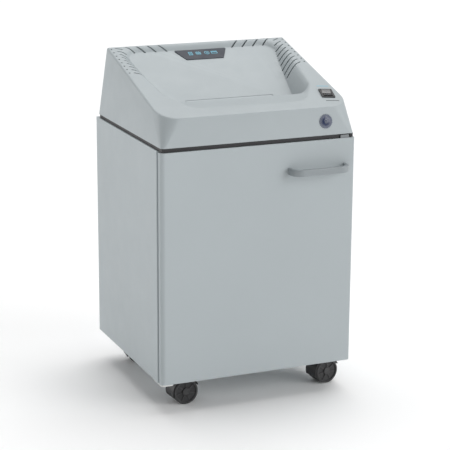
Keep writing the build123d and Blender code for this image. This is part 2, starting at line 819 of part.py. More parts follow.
with BuildPart() as cutter_plate_left:
    add(cutter_plate(-cutter_plate_x - plate_thickness).part)
    with BuildSketch(cross_plane(-cutter_plate_x - plate_thickness)):
        side_profile(plate_ear)
        with Locations(cluster_place):
            Circle(cluster_shaft_radius, mode=Mode.SUBTRACT)
    extrude(amount=plate_thickness)
finish(cutter_plate_left, "cutter_plate_left")
cutter_plate_right = cutter_plate(cutter_plate_x)
finish(cutter_plate_right, "cutter_plate_right")

gear_plate_x = -170.0
gear_plate_thickness = 3.0
with BuildPart() as shaft_bushes:
    for x in (-cutter_plate_x - plate_thickness, cutter_plate_x):
        with BuildSketch(cross_plane(x)):
            with Locations(*shaft_places):
                Circle(bush_radius)
                Circle(shaft_radius + running_gap, mode=Mode.SUBTRACT)
        extrude(amount=plate_thickness)
    with BuildSketch(cross_plane(gear_plate_x)):
        with Locations(shaft_places[1]):
            Circle(bush_radius)
            Circle(shaft_radius + running_gap, mode=Mode.SUBTRACT)
    extrude(amount=gear_plate_thickness)
finish(shaft_bushes, "shaft_bushes")

with BuildPart() as tie_rods:
    with BuildSketch(cross_plane(-cutter_plate_x)):
        with Locations(*in_side_view(rod_places)):
            Circle(rod_radius)
    extrude(amount=2 * cutter_plate_x)
finish(tie_rods, "tie_rods")

comb_low = cabinet_top - 3.0
comb_tall = 15.0
comb_bar = 4.0
finger_width = 3.0
finger_clearance = 0.7
groove_reach = groove_radius + finger_clearance
bar_offset = disc_radius + 1.5


def stripper_comb(y, side, first_disc):
    """A bar with one finger in every groove of a roller, on the roller's outer side."""
    with BuildPart() as comb:
        with BuildSketch(Plane.XY.offset(comb_low)) as outline:
            with Locations((0, y + side * (bar_offset + comb_bar / 2))):
                Rectangle(2 * cutter_plate_x, comb_bar)
            for groove in range(int(cutting_width / disc_pitch) - 1):
                x = first_disc + (groove + 0.5) * disc_pitch
                with Locations((x, y + side * (bar_offset + groove_reach) / 2)):
                    Rectangle(finger_width, bar_offset - groove_reach)
        extrude(outline.sketch, amount=comb_tall)
    return comb


front_stripper = stripper_comb(front_cutter_y, -1, -cutting_width / 2 + disc_pitch / 4)
finish(front_stripper, "front_stripper")
rear_stripper = stripper_comb(rear_cutter_y, 1, -cutting_width / 2 + 3 * disc_pitch / 4)
finish(rear_stripper, "rear_stripper")


# ---- gears ----
def flank_angle(radius, base):
    """How far an involute has turned from its base circle by the time it reaches a radius."""
    ratio = math.sqrt(max((radius / base) ** 2 - 1, 0))
    return ratio - math.atan(ratio)


def gear_outline(teeth, phase):
    """Points of a spur gear's edge about the origin, with one tooth centred on the phase angle."""
    pitch = gear_module * teeth / 2
    base = pitch * math.cos(pressure_angle)
    root = pitch - gear_dedendum * gear_module
    tip = pitch + gear_module
    half_tooth = math.pi / (2 * teeth) - backlash / (2 * pitch)
    radii = [max(root, base), pitch, (pitch + tip) / 2, tip]
    points = []
    for tooth in range(teeth):
        middle = phase + tooth * 2 * math.pi / teeth
        rising = []
        for radius in radii:
            turn = half_tooth + flank_angle(pitch, base) - flank_angle(radius, base)
            rising.append((radius, -turn))
        if root < base:
            rising.insert(0, (root, rising[0][1]))
        for radius, turn in rising + [(radius, -turn) for radius, turn in reversed(rising)]:
            points.append((radius * math.cos(middle + turn), radius * math.sin(middle + turn)))
    return points


def gear_solid(place, x, face_width, teeth, phase, bore):
    """A spur gear on a YZ plane at x, with a plain bore."""
    with BuildPart() as gear:
        with BuildSketch(cross_plane(x)) as outline:
            with Locations(place):
                Polygon(*gear_outline(teeth, phase), align=None)
                Circle(bore, mode=Mode.SUBTRACT)
        extrude(outline.sketch, amount=face_width)
    return gear


def mesh_phase(direction, teeth):
    """The phase that puts a gap, not a tooth, towards a neighbour's tooth."""
    return direction + math.pi + math.pi / teeth


sync_x = -142.0
main_x = -152.0
cluster_pinion_x = -153.5
cluster_gear_x = -163.0
wide_face = 10.0
main_face = 8.0
rear_sync_gear = gear_solid(rear_place, sync_x, wide_face, sync_teeth, math.pi, shaft_radius)
finish(rear_sync_gear, "rear_sync_gear")
front_sync_gear = gear_solid(
    front_place, sync_x, wide_face, sync_teeth, mesh_phase(math.pi, sync_teeth), shaft_radius
)
finish(front_sync_gear, "front_sync_gear")
main_gear = gear_solid(rear_place, main_x, main_face, main_teeth, cluster_angle, shaft_radius)
finish(main_gear, "main_gear")
cluster_bore = cluster_shaft_radius + running_gap
cluster_hub_radius = 7.0
cluster_phase = mesh_phase(cluster_angle, pinion_teeth)
cluster_pinion = gear_solid(
    cluster_place, cluster_pinion_x, wide_face, pinion_teeth, cluster_phase, cluster_bore
)
cluster_wheel = gear_solid(cluster_place, cluster_gear_x, main_face, cluster_teeth, motor_angle, cluster_bore)
with BuildPart() as cluster_gear:
    add(cluster_pinion.part)
    add(cluster_wheel.part)
    with BuildSketch(cross_plane(cluster_gear_x + main_face)):
        with Locations(cluster_place):
            Circle(cluster_hub_radius)
            Circle(cluster_bore, mode=Mode.SUBTRACT)
    extrude(amount=cluster_pinion_x - cluster_gear_x - main_face)
finish(cluster_gear, "cluster_gear")

with BuildPart() as cluster_shaft:
    with BuildSketch(cross_plane(gear_plate_x)):
        with Locations(cluster_place):
            Circle(cluster_shaft_radius)
    extrude(amount=-gear_plate_x - cutter_plate_x)
finish(cluster_shaft, "cluster_shaft")

motor_shaft_radius = 4.0
gear_plate_back = 250.0       # depths behind the door's face
shoulder_front = 140.0
shoulder_back = 235.0
keel_low_front = 95.0         # the part that hangs down round the rear shaft
keel_low_back = 138.0
keel_front = 80.0
keel_back = 150.0
nose_height = 30.0            # heights over the cabinet
shoulder_front_height = 60.0
shoulder_back_height = 66.0
tail_height = 50.0
keel_height = -14.0
gear_plate_outline = [
    (plate_front, frame_thickness), (plate_front, nose_height),
    (shoulder_front, shoulder_front_height), (shoulder_back, shoulder_back_height),
    (gear_plate_back, tail_height), (gear_plate_back, frame_thickness),
    (keel_back, frame_thickness), (keel_low_back, keel_height),
    (keel_low_front, keel_height), (keel_front, frame_thickness),
]
with BuildPart() as gear_plate:
    with BuildSketch(cross_plane(gear_plate_x)):
        side_profile(gear_plate_outline)
        with Locations(rear_place):
            Circle(bush_radius, mode=Mode.SUBTRACT)
        with Locations(cluster_place):
            Circle(cluster_shaft_radius, mode=Mode.SUBTRACT)
        with Locations(motor_place):
            Circle(motor_shaft_radius + running_gap, mode=Mode.SUBTRACT)
    extrude(amount=gear_plate_thickness)
finish(gear_plate, "gear_plate")

# ---- motor ----
motor_left = -118.0
motor_length = 110.0
motor_wall = 3.0
motor_right = motor_left + motor_length
bell_thickness = 4.0
bell_hub_radius = 10.0
bell_hub_length = 6.0
bell_holes = 8
bell_hole_circle = 24.0
bell_hole_radius = 5.0
with BuildPart() as motor_casing:
    with BuildSketch(cross_plane(motor_left)):
        with Locations(motor_place):
            Circle(motor_radius)
    extrude(amount=motor_length)
    with BuildSketch(cross_plane(motor_left + motor_wall)):
        with Locations(motor_place):
            Circle(motor_radius - motor_wall)
    extrude(amount=motor_length, mode=Mode.SUBTRACT)
    with BuildSketch(cross_plane(motor_left)):
        with Locations(motor_place):
            Circle(motor_shaft_radius + running_gap)
    extrude(amount=motor_wall, mode=Mode.SUBTRACT)
finish(motor_casing, "motor_casing")

with BuildPart() as motor_end_bell:
    with BuildSketch(cross_plane(motor_right)):
        with Locations(motor_place):
            Circle(motor_radius)
            Circle(motor_shaft_radius + running_gap, mode=Mode.SUBTRACT)
            with PolarLocations(bell_hole_circle, bell_holes):
                Circle(bell_hole_radius, mode=Mode.SUBTRACT)
    extrude(amount=bell_thickness)
    with BuildSketch(cross_plane(motor_right + bell_thickness)):
        with Locations(motor_place):
            Circle(bell_hub_radius)
            Circle(motor_shaft_radius + running_gap, mode=Mode.SUBTRACT)
    extrude(amount=bell_hub_length)
finish(motor_end_bell, "motor_end_bell")

mount_front = 188.0           # depths behind the door's face
mount_back = 238.0
mount_top_front = 196.0
mount_top_back = 220.0
mount_shoulder = 62.0         # heights over the cabinet
mount_top = 78.0
mount_thickness = 4.0
mount_foot_length = 20.0
mount_foot_thickness = 3.0
mount_hole_radius = 9.0
mount_outline = [
    (mount_front, frame_thickness), (mount_front, mount_shoulder), (mount_top_front, mount_top),
    (mount_top_back, mount_top), (mount_back, mount_shoulder), (mount_back, frame_thickness),
]
mount_x = motor_left - mount_thickness
with BuildPart() as motor_bracket:
    with BuildSketch(cross_plane(mount_x)):
        side_profile(mount_outline)
        with Locations(motor_place):
            Circle(mount_hole_radius, mode=Mode.SUBTRACT)
    extrude(amount=mount_thickness)
    box_between(
        (mount_x - mount_foot_length, door_face + mount_front, head_base),
        (mount_x, door_face + mount_back, head_base + mount_foot_thickness),
    )
finish(motor_bracket, "motor_bracket")

motor_pinion_x = -164.0
rotor_radius = 22.0
rotor_left = motor_left + 18.0
rotor_length = 62.0
rotor_overhang = 9.0
rotor_air = 0.6
stator_left = motor_left + 16.0
stator_length = 66.0
with BuildPart() as motor_rotor:
    with BuildSketch(cross_plane(gear_plate_x)):
        with Locations(motor_place):
            Circle(motor_shaft_radius)
    extrude(amount=motor_right + rotor_overhang - gear_plate_x)
    with BuildSketch(cross_plane(rotor_left)):
        with Locations(motor_place):
            Circle(rotor_radius)
    extrude(amount=rotor_length)
    pinion = gear_solid(
        motor_place, motor_pinion_x, wide_face, pinion_teeth, mesh_phase(motor_angle, pinion_teeth),
        motor_shaft_radius - 1.0,
    )
    add(pinion.part)
finish(motor_rotor, "motor_rotor")

with BuildPart() as motor_stator:
    with BuildSketch(cross_plane(stator_left)):
        with Locations(motor_place):
            Circle(motor_radius - motor_wall)
            Circle(rotor_radius + rotor_air, mode=Mode.SUBTRACT)
    extrude(amount=stator_length)
finish(motor_stator, "motor_stator")

fan_blades = 9
fan_left = motor_right - 14.0
fan_width = 10.0
fan_hub_radius = 10.0
fan_blade_circle = 18.0
fan_blade_length = 22.0
fan_blade_thickness = 1.6
with BuildPart() as motor_fan:
    with BuildSketch(cross_plane(fan_left)):
        with Locations(motor_place):
            Circle(fan_hub_radius)
            with PolarLocations(fan_blade_circle, fan_blades):
                Rectangle(fan_blade_length, fan_blade_thickness)
            Circle(motor_shaft_radius, mode=Mode.SUBTRACT)
    extrude(amount=fan_width)
finish(motor_fan, "motor_fan")

# ---- electrics ----
can_radius = 15.0
can_length = 70.0
can_round = 1.5
can_left = 20.0
can_y = door_face + 262.0
with BuildPart() as capacitor:
    with BuildSketch(cross_plane(can_left)):
        with Locations((can_y, head_base + can_radius)):
            Circle(can_radius)
    extrude(amount=can_length)
    fillet(capacitor.edges().filter_by(GeomType.CIRCLE), can_round)
finish(capacitor, "capacitor")

board_left = 14.0
board_right = 118.0
board_front = door_face + 176.0
board_back = door_face + 238.0
board_z = head_base + 8.0
post_radius = 3.0
post_inset = 5.0
board_sheet = 1.6
board_top = board_z + board_sheet
coil_radius = 7.0
coil_tall = 18.0
coil_x = board_left + 18.0
coil_y = board_back - 14.0
with BuildPart() as board_posts:
    with BuildSketch(Plane.XY.offset(head_base)):
        for x in (board_left + post_inset, board_right - post_inset):
            with Locations((x, board_front + post_inset), (x, board_back - post_inset)):
                Circle(post_radius)
    extrude(amount=board_z - head_base)
finish(board_posts, "board_posts")


def board_block(left, front, wide, deep, tall):
    """A component on the control board, measured from the board's left front corner."""
    low = (board_left + left, board_front + front, board_top)
    box_between(low, (low[0] + wide, low[1] + deep, board_top + tall))


with BuildPart() as control_board:
    box_between((board_left, board_front, board_z), (board_right, board_back, board_top))
    board_block(left=8.0, front=12.0, wide=22.0, deep=16.0, tall=16.0)
    board_block(left=40.0, front=14.0, wide=32.0, deep=30.0, tall=24.0)
    board_block(left=82.0, front=10.0, wide=14.0, deep=42.0, tall=12.0)
    with BuildSketch(Plane.XY.offset(board_top)):
        with Locations((coil_x, coil_y)):
            Circle(coil_radius)
    extrude(amount=coil_tall)
finish(control_board, "control_board")

inlet_wall = 2.5
inlet_tail = 8.0
socket_depth = 12.0
blade_pitch = 6.5
blade_drop = 2.0
blade_lift = 2.5
blade_wide = 2.0
blade_tall = 4.0
blade_reach = 9.0
with BuildPart() as power_inlet:
    with BuildSketch(Plane.XZ.offset(-back_face)):
        with Locations((inlet_x, inlet_z)):
            Rectangle(inlet_width, inlet_height)
    extrude(amount=board + inlet_tail)
    with BuildSketch(Plane.XZ.offset(-back_face)):
        with Locations((inlet_x, inlet_z)):
            Rectangle(inlet_width - 2 * inlet_wall, inlet_height - 2 * inlet_wall)
    extrude(amount=socket_depth, mode=Mode.SUBTRACT)
    with BuildSketch(Plane.XZ.offset(-(back_face - socket_depth))):
        with Locations((-blade_pitch, -blade_drop), (0, blade_lift), (blade_pitch, -blade_drop)):
            with Locations((inlet_x, inlet_z)):
                Rectangle(blade_wide, blade_tall)
    extrude(amount=-blade_reach)
finish(power_inlet, "power_inlet")

# ---- waste bin ----
bin_low = caster_height + board
bin_high = caster_height + 366.0
bin_wall = 2.5
bin_middle = door_face + 172.0
bin_foot_wide = 290.0
bin_foot_deep = 246.0
bin_mouth_wide = 304.0
bin_mouth_deep = 264.0
bin_corner = 18.0
bin_lip_reach = 5.0
bin_lip_tall = 4.0


def bin_section(wide, deep, z, reach=0.0):
    """A level slice of the tapered bin, or with reach a rim that far outside it."""
    with BuildSketch(Plane.XY.offset(z)) as section:
        with Locations((0, bin_middle)):
            RectangleRounded(wide + 2 * reach, deep + 2 * reach, bin_corner + max(reach, 0) * 4 / 5)
    return section.sketch.face()


with BuildPart() as waste_bin:
    loft([
        bin_section(bin_foot_wide, bin_foot_deep, bin_low),
        bin_section(bin_mouth_wide, bin_mouth_deep, bin_high),
    ])
    lip = bin_section(bin_mouth_wide, bin_mouth_deep, bin_high - bin_lip_tall, bin_lip_reach)
    extrude(lip, amount=bin_lip_tall)
    loft(
        [
            bin_section(bin_foot_wide, bin_foot_deep, bin_low + bin_wall, -bin_wall),
            bin_section(bin_mouth_wide, bin_mouth_deep, bin_high, -bin_wall),
        ],
        mode=Mode.SUBTRACT,
    )
finish(waste_bin, "waste_bin")

# ---- casters ----
wheel_radius = 24.0
caster_trail = 18.0
stem_radius = 4.0
flange_radius = 18.0
flange_thickness = 2.5
web_half = 5.0
wheel_inner = 5.6
wheel_width = 11.4
hood_radius = 27.2
hood_wall = 2.0
hood_half = 16.5
axle_radius = 3.0
hood_start = 25.0
hood_sweep = 175.0
socket_tall = 14.0
stem_reach = 12.0             # into the socket
stem_air = 0.6
stem_top = caster_height + stem_reach
web_radius = 19.0
neck_x = 4.0
neck_middle = wheel_radius + 13.0
neck_wide = 20.0
neck_tall = 26.0
boss_radius = 9.0
boss_low = caster_height - flange_thickness - 8.0
boss_tall = 7.7
stem_root = 2.0
wheel_round = 2.0
axle_bite = 4.0               # how far the axle runs into each wheel
caster_turns = {"front_left": 3.0, "front_right": 9.0, "rear_left": -6.0, "rear_right": 5.0}
caster_stems = {
    "front_left": (-caster_x, caster_front_y),
    "front_right": (caster_x, caster_front_y),
    "rear_left": (-caster_x, caster_back_y),
    "rear_right": (caster_x, caster_back_y),
}

with BuildPart() as caster_sockets:
    with BuildSketch(Plane.XY.offset(caster_height - flange_thickness)):
        with Locations(*stem_places):
            Circle(flange_radius)
    extrude(amount=flange_thickness)
    with BuildSketch(Plane.XY.offset(caster_height)):
        with Locations(*stem_places):
            Circle(socket_hole)
    extrude(amount=socket_tall)
    with BuildSketch(Plane.XY.offset(caster_height - flange_thickness)):
        with Locations(*stem_places):
            Circle(stem_radius + running_gap)
    extrude(amount=flange_thickness + stem_reach + stem_air, mode=Mode.SUBTRACT)
finish(caster_sockets, "caster_sockets")


def caster_plane(stem, turn):
    """The upright plane through a caster's stem that its wheels roll in; X trails, Y is up."""
    angle = math.radians(turn)
    trailing = (math.cos(angle), math.sin(angle), 0)
    return Plane(origin=(stem[0], stem[1], 0), x_dir=trailing, z_dir=(math.sin(angle), -math.cos(angle), 0))


def caster_hood(stem, turn):
    """The fork between the wheels, the hood over them and the stem it swivels on."""
    side = caster_plane(stem, turn)
    with BuildPart() as hood:
        with BuildSketch(side) as web:
            with Locations((caster_trail, wheel_radius)):
                Circle(web_radius)
            with Locations((neck_x, neck_middle)):
                Rectangle(neck_wide, neck_tall)
            with Locations((caster_trail, wheel_radius)):
                Circle(axle_radius + running_gap, mode=Mode.SUBTRACT)
        extrude(web.sketch, amount=web_half, both=True)
        with BuildSketch(side) as shell:
            with BuildLine():
                middle = (caster_trail, wheel_radius)
                outer = CenterArc(middle, hood_radius, hood_start, hood_sweep)
                inner = CenterArc(middle, hood_radius - hood_wall, hood_start, hood_sweep)
                Line(outer @ 0, inner @ 0)
                Line(outer @ 1, inner @ 1)
            make_face()
        extrude(shell.sketch, amount=hood_half, both=True)
        with BuildSketch(Plane.XY.offset(boss_low)) as boss:
            with Locations(stem):
                Circle(boss_radius)
        extrude(boss.sketch, amount=boss_tall)
        pin_low = caster_height - flange_thickness - stem_root
        with BuildSketch(Plane.XY.offset(pin_low)) as pin:
            with Locations(stem):
                Circle(stem_radius)
        extrude(pin.sketch, amount=stem_top - pin_low)
    return hood


def caster_wheels(stem, turn):
    """Two wheels on one axle."""
    side = caster_plane(stem, turn)
    with BuildPart() as pair:
        for sign in (-1, 1):
            with BuildSketch(side.offset(sign * wheel_inner)) as disc:
                with Locations((caster_trail, wheel_radius)):
                    Circle(wheel_radius)
            extrude(disc.sketch, amount=sign * wheel_width)
        rims = pair.edges().filter_by(GeomType.CIRCLE)
        fillet(rims, wheel_round)
        with BuildSketch(side) as axle:
            with Locations((caster_trail, wheel_radius)):
                Circle(axle_radius)
        extrude(axle.sketch, amount=wheel_inner + axle_bite, both=True)
    return pair


for corner, stem in caster_stems.items():
    finish(caster_hood(stem, caster_turns[corner]), f"caster_hood_{corner}")
    finish(caster_wheels(stem, caster_turns[corner]), f"caster_wheels_{corner}")
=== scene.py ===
"""Looks of the paper shredder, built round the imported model."""
import json
import math

import bmesh
import bpy
from mathutils import Matrix, Vector


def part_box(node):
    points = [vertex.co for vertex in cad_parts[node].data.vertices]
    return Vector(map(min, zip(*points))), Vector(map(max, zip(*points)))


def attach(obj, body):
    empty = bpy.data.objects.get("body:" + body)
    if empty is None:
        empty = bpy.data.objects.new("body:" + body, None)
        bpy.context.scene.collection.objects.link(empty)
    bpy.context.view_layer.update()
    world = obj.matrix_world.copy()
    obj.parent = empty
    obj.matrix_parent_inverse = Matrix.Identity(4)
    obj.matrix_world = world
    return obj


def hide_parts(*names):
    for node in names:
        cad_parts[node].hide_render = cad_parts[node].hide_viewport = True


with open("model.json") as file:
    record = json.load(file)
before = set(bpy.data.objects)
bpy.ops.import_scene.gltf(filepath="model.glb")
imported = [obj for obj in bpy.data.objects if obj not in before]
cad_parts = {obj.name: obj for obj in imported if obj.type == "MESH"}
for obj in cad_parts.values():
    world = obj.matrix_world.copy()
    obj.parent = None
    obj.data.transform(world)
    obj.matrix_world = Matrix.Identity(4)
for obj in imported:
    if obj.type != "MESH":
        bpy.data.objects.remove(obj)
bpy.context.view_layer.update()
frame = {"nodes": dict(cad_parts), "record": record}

NODES = frame["nodes"]
SCENE = bpy.context.scene

# ---------------------------------------------------------------- camera
CAMERA_PLACE = Vector((-1.1809, -2.7806, 1.1242))
CAMERA_YAW = math.radians(23.03)
CAMERA_PITCH = math.radians(15.24)
CAMERA_ROLL = math.radians(0.32)
CAMERA_LENS = 131.76


def make_camera():
    """The camera at the photograph's viewing angle."""
    data = bpy.data.cameras.new("camera")
    data.lens = CAMERA_LENS
    data.sensor_width = 36.0
    data.clip_start, data.clip_end = 0.05, 60.0
    camera = bpy.data.objects.new("camera", data)
    SCENE.collection.objects.link(camera)
    forward = Vector((
        math.sin(CAMERA_YAW) * math.cos(CAMERA_PITCH),
        math.cos(CAMERA_YAW) * math.cos(CAMERA_PITCH),
        -math.sin(CAMERA_PITCH),
    ))
    level = Vector((math.cos(CAMERA_YAW), -math.sin(CAMERA_YAW), 0.0))
    upward = level.cross(forward)
    right = math.cos(CAMERA_ROLL) * level + math.sin(CAMERA_ROLL) * upward
    top = -math.sin(CAMERA_ROLL) * level + math.cos(CAMERA_ROLL) * upward
    turn = Matrix((right, top, -forward)).transposed()
    camera.matrix_world = Matrix.Translation(CAMERA_PLACE) @ turn.to_4x4()
    SCENE.camera = camera


# ---------------------------------------------------------------- node helpers
# The Mix node has a socket of each name per data type, so its colour sockets go by place.
FIRST_COLOUR = 6
SECOND_COLOUR = 7
MIXED_COLOUR = 2


class Tree:
    """A material's node tree, with short calls for the nodes that the materials here use."""

    def __init__(self, name):
        self.material = bpy.data.materials.new(name)
        self.material.use_nodes = True
        self.nodes = self.material.node_tree.nodes
        self.links = self.material.node_tree.links
        self.shader = self.nodes["Principled BSDF"]
        self.place = self.nodes.new("ShaderNodeTexCoord").outputs["Object"]

    def set(self, **values):
        """Plain numbers on the shader's own sockets."""
        for socket, value in values.items():
            self.shader.inputs[socket.replace("_", " ")].default_value = value

    def stretched(self, scale):
        """The place, scaled along each axis."""
        node = self.nodes.new("ShaderNodeMapping")
        node.inputs["Scale"].default_value = scale
        self.links.new(self.place, node.inputs["Vector"])
        return node.outputs["Vector"]

    def noise(self, scale, detail=3.0, rough=0.5, place=None, distortion=0.0):
        """A noise value that lies about a half."""
        node = self.nodes.new("ShaderNodeTexNoise")
        node.inputs["Scale"].default_value = scale
        node.inputs["Detail"].default_value = detail
        node.inputs["Roughness"].default_value = rough
        node.inputs["Distortion"].default_value = distortion
        self.links.new(place or self.place, node.inputs["Vector"])
        return node.outputs["Fac"]

    def ramp(self, value, stops):
        """Colours along a value, from (position, colour) stops."""
        node = self.nodes.new("ShaderNodeValToRGB")
        ramp = node.color_ramp
        while len(ramp.elements) < len(stops):
            ramp.elements.new(0.5)
        for element, (position, colour) in zip(ramp.elements, stops):
            element.position = position
            element.color = (*colour, 1.0)
        self.links.new(value, node.inputs["Fac"])
        return node.outputs["Color"]

    def spread(self, value, low, high, start=0.3, end=0.7):
        """A value mapped from start..end on to low..high."""
        node = self.nodes.new("ShaderNodeMapRange")
        for socket, number in (
            ("From Min", start), ("From Max", end), ("To Min", low), ("To Max", high),
        ):
            node.inputs[socket].default_value = number
        self.links.new(value, node.inputs["Value"])
        return node.outputs["Result"]

    def mixed(self, factor, first, second):
        """Two colours mixed by a factor."""
        node = self.nodes.new("ShaderNodeMix")
        node.data_type = "RGBA"
        for socket, value in (("Factor", factor), (FIRST_COLOUR, first), (SECOND_COLOUR, second)):
            if isinstance(value, tuple):
                node.inputs[socket].default_value = value
            else:
                self.links.new(value, node.inputs[socket])
        return node.outputs[MIXED_COLOUR]

    def pointed(self, low, high):
        """How sharply the surface stands out, 0 on flats and 1 on worn edges."""
        node = self.nodes.new("ShaderNodeNewGeometry")
        return self.spread(node.outputs["Pointiness"], 0.0, 1.0, low, high)

    def bumps(self, *layers):
        """Stacked bumps, each (value, strength, distance in metres)."""
        normal = None
        for value, strength, distance in layers:
            node = self.nodes.new("ShaderNodeBump")
            node.inputs["Strength"].default_value = strength
            node.inputs["Distance"].default_value = distance
            self.links.new(value, node.inputs["Height"])
            if normal is not None:
                self.links.new(normal, node.inputs["Normal"])
            normal = node.outputs["Normal"]
        self.links.new(normal, self.shader.inputs["Normal"])

    def colour(self, output):
        self.links.new(output, self.shader.inputs["Base Color"])

    def roughness(self, output):
        self.links.new(output, self.shader.inputs["Roughness"])


def shade(colour, factor):
    """A colour made darker or lighter."""
    return tuple(min(1.0, channel * factor) for channel in colour)


def clouded(colour, darker, lighter):
    """Ramp stops from a darker to a lighter cast of a colour."""
    return (0.3, shade(colour, 1.0 - darker)), (0.7, shade(colour, 1.0 + lighter))


# ---------------------------------------------------------------- materials
def moulded(
    name, colour, rough=0.5, grain=900.0, depth=0.00006, mottle=0.04, wear=0.08, specular=0.5,
):
    """Moulded plastic: a spark-eroded grain, faint cloudiness and slightly lighter edges."""
    tree = Tree(name)
    cloud = tree.noise(9.0, 4.0, 0.6)
    base = tree.ramp(cloud, clouded(colour, mottle, mottle))
    edge = tree.pointed(0.52, 0.62)
    faint = tree.spread(edge, 0.0, wear, 0.0, 1.0)
    tree.colour(tree.mixed(faint, base, (*shade(colour, 1.6), 1.0)))
    tree.roughness(tree.spread(tree.noise(35.0, 5.0, 0.6), rough - 0.05, rough + 0.07))
    tree.set(Specular_IOR_Level=specular)
    tree.bumps(
        (tree.noise(grain, 2.0, 0.6), 0.5, depth),
        (tree.noise(60.0, 2.0), 0.12, 0.0002),
    )
    return tree.material


def laminate(name, colour):
    """Melamine on board: an eggshell texture, faint blotches and scuffs, and worn corners."""
    tree = Tree(name)
    cloud = tree.noise(3.2, 5.0, 0.55)
    base = tree.ramp(cloud, ((0.32, shade(colour, 0.975)), (0.68, shade(colour, 1.025))))
    fleck = tree.spread(tree.noise(420.0, 2.0, 0.7), 0.0, 0.1, 0.45, 0.75)
    base = tree.mixed(fleck, base, (*shade(colour, 0.8), 1.0))
    long_marks = tree.noise(16.0, 6.0, 0.75, tree.stretched((1.0, 1.0, 7.0)), 0.6)
    scuff = tree.spread(long_marks, 0.0, 0.14, 0.66, 0.78)
    base = tree.mixed(scuff, base, (*shade(colour, 1.25), 1.0))
    edge = tree.spread(tree.pointed(0.53, 0.66), 0.0, 0.3, 0.0, 1.0)
    tree.colour(tree.mixed(edge, base, (*shade(colour, 1.3), 1.0)))
    tree.roughness(tree.spread(tree.noise(26.0, 5.0, 0.65), 0.42, 0.56))
    tree.set(Specular_IOR_Level=0.45)
    tree.bumps(
        (tree.noise(700.0, 2.0, 0.6), 0.35, 0.00005),
        (tree.noise(18.0, 3.0), 0.1, 0.0003),
    )
    return tree.material


def metal(name, colour, rough, stretch, scale, tarnish=0.12, coat=0.0):
    """Bare or plated metal: drawn or ground lines, a patchy tarnish and brighter edges."""
    tree = Tree(name)
    lines = tree.noise(scale, 6.0, 0.7, tree.stretched(stretch))
    patch = tree.noise(22.0, 5.0, 0.65)
    base = tree.ramp(patch, clouded(colour, tarnish, tarnish * 0.5))
    edge = tree.spread(tree.pointed(0.52, 0.62), 0.0, 0.4, 0.0, 1.0)
    tree.colour(tree.mixed(edge, base, (*shade(colour, 1.35), 1.0)))
    tree.roughness(tree.spread(lines, rough - 0.08, rough + 0.12))
    tree.set(Metallic=1.0, Coat_Weight=coat)
    tree.bumps((lines, 0.25, 0.00005), (tree.noise(40.0, 3.0), 0.1, 0.0002))
    return tree.material


def glossy(name, colour, rough, coat, mottle=0.05):
    """Smooth gloss plastic or lacquer: hairline scratches and faint ripples."""
    tree = Tree(name)
    cloud = tree.noise(20.0, 4.0)
    tree.colour(tree.ramp(cloud, clouded(colour, mottle, mottle)))
    scratch = tree.noise(180.0, 4.0, 0.8, tree.stretched((1.0, 6.0, 1.0)), 0.4)
    tree.roughness(tree.spread(scratch, rough - 0.03, rough + 0.12, 0.45, 0.75))
    tree.set(Coat_Weight=coat, Coat_Roughness=0.08)
    tree.bumps((scratch, 0.12, 0.00003), (tree.noise(30.0, 2.0), 0.08, 0.0002))
    return tree.material


def worn_rubbery(name, colour):
    """Caster tread: matt, dusty, with fine turning lines and pale wear where it rolls."""
    tree = Tree(name)
    dust = tree.noise(55.0, 6.0, 0.7)
    base = tree.ramp(dust, ((0.35, colour), (0.72, shade(colour, 2.4))))
    edge = tree.spread(tree.pointed(0.51, 0.58), 0.0, 0.35, 0.0, 1.0)
    tree.colour(tree.mixed(edge, base, (0.12, 0.12, 0.12, 1.0)))
    tree.roughness(tree.spread(dust, 0.42, 0.7))
    tree.bumps(
        (tree.noise(500.0, 3.0, 0.7), 0.35, 0.00008),
        (tree.noise(90.0, 4.0), 0.2, 0.0002),
    )
    return tree.material


def circuit(name):
    """A circuit board: solder mask with paler tracks in rows."""
    tree = Tree(name)
    wave = tree.nodes.new("ShaderNodeTexWave")
    wave.inputs["Scale"].default_value = 60.0
    wave.inputs["Distortion"].default_value = 6.0
    wave.inputs["Detail"].default_value = 3.0
    tree.links.new(tree.place, wave.inputs["Vector"])
    mask, track = (0.010, 0.085, 0.030), (0.035, 0.19, 0.075)
    tree.colour(tree.ramp(wave.outputs["Fac"], ((0.42, mask), (0.55, track))))
    tree.roughness(tree.spread(tree.noise(80.0), 0.25, 0.45))
    tree.set(Coat_Weight=0.3, Coat_Roughness=0.15)
    tree.bumps((wave.outputs["Fac"], 0.3, 0.0001))
    return tree.material


